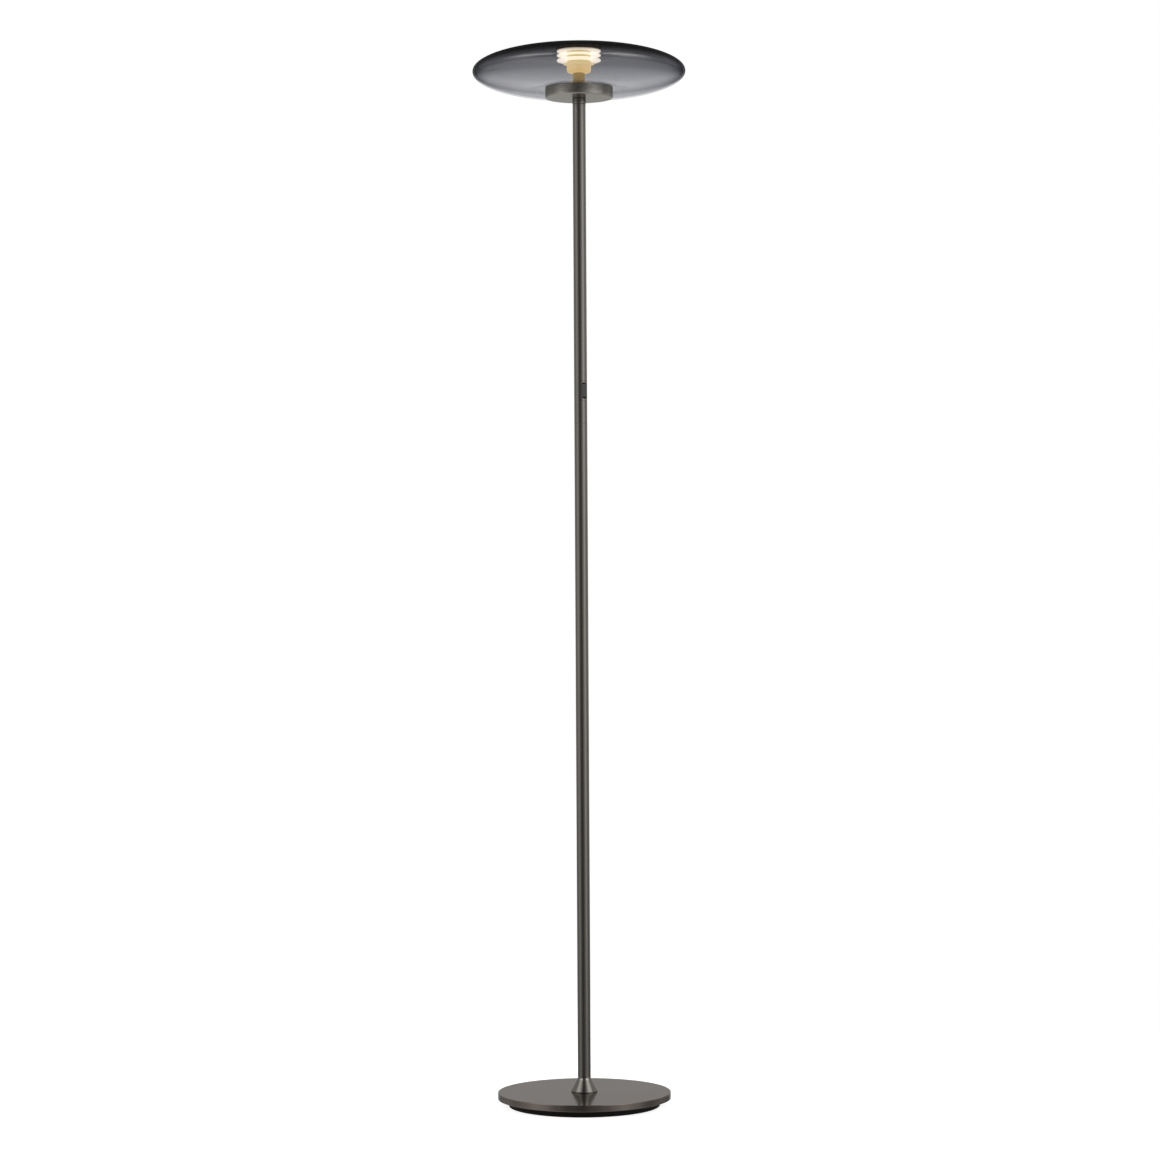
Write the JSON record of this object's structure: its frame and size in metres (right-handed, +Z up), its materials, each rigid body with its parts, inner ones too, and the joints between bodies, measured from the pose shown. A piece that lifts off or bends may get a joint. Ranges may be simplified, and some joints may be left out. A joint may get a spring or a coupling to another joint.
{
  "type": "torchiere floor lamp",
  "caption": "Floor lamp: a weighted round foot, a slim sectional pole with a push dimmer, and a lens-shaped smoked-glass shade round a lit stack of diffusers.",
  "frame": {"origin": "on the floor, in the middle of the foot", "axes": "+Z up the pole; the dimmer faces 38 degrees from +X towards -Y; the mains lead enters at +Y, the rear"},
  "size_m": [0.362, 0.362, 1.8017],
  "materials": {
    "dark_nickel": "satin dark nickel plate, finely brushed",
    "steel": "zinc-plated steel",
    "cast_iron": "rough cast",
    "brass": "turned",
    "warm_metal": "satin, lit warm by the diffusers",
    "dark_bronze": "satin dark bronze",
    "black_plastic": "moulded, fine grain",
    "black_rubber": "matt",
    "grey_plastic": "moulded, satin",
    "white_plastic": "moulded",
    "circuit_board": "solder resist",
    "led_board": "white solder resist",
    "opal": "opal acrylic, lit from inside",
    "uplight_lens": "opal acrylic, lit from below",
    "smoked_glass": "smoked, clear, polished",
    "silicone": "matt",
    "lead_sheath": "matt sheath",
    "led_lead_sheath": "matt sheath"
  },
  "bodies": {
    "stand": {"base_cover": "dark_nickel", "base_collar": "dark_nickel", "lower_tube": "dark_nickel", "middle_tube": "dark_nickel", "upper_tube": "dark_nickel", "dimmer_bezel": "dark_nickel", "head_collar": "dark_nickel", "drum_housing": "dark_nickel", "drum_lid": "dark_nickel", "stem_tube": "dark_nickel", "bottom_plate": "steel", "bottom_plate_screw_1": "steel", "bottom_plate_screw_2": "steel", "bottom_plate_screw_3": "steel", "bottom_plate_screw_4": "steel", "foot_screw_1": "steel", "foot_screw_2": "steel", "foot_screw_3": "steel", "lead_clamp_screw_1": "steel", "lead_clamp_screw_2": "steel", "base_washer": "steel", "base_nut": "steel", "threaded_nipple": "steel", "lower_coupler": "steel", "upper_coupler": "steel", "head_nipple": "steel", "head_nut": "steel", "stem_nut": "steel", "stem_rod": "steel", "return_spring": "steel", "base_weight": "cast_iron", "lower_bush": "brass", "top_bush": "brass", "engine_cup": "warm_metal", "shade_carrier": "dark_bronze", "top_trim_ring": "dark_bronze", "foot_disc": "black_plastic", "lower_board_holder": "black_plastic", "upper_board_holder": "black_plastic", "switch_body": "black_plastic", "anti_slip_ring": "black_rubber", "cable_gland": "black_rubber", "lead_clamp": "grey_plastic", "led_driver": "white_plastic", "terminal_block": "white_plastic", "dimmer_board": "circuit_board", "lower_led_board": "led_board", "upper_led_board": "led_board", "lower_diffuser": "opal", "middle_diffuser": "opal", "upper_diffuser": "opal", "top_lens": "uplight_lens", "glass_shade": "smoked_glass", "shade_gasket": "silicone", "seat_gasket": "silicone", "mains_lead": "lead_sheath", "lamp_lead": "lead_sheath", "led_lead": "led_lead_sheath"},
    "dimmer_key": {"dimmer_button": "grey_plastic", "switch_plunger": "white_plastic"}
  },
  "joints": [
    {"name": "dimmer_press", "type": "slide", "parent": "stand", "child": "dimmer_key", "axis": [-0.788, 0.6157, 0], "range_m": [0, 0.0012], "stiffness_N_per_m": 800, "deforming": ["return_spring"]}
  ]
}
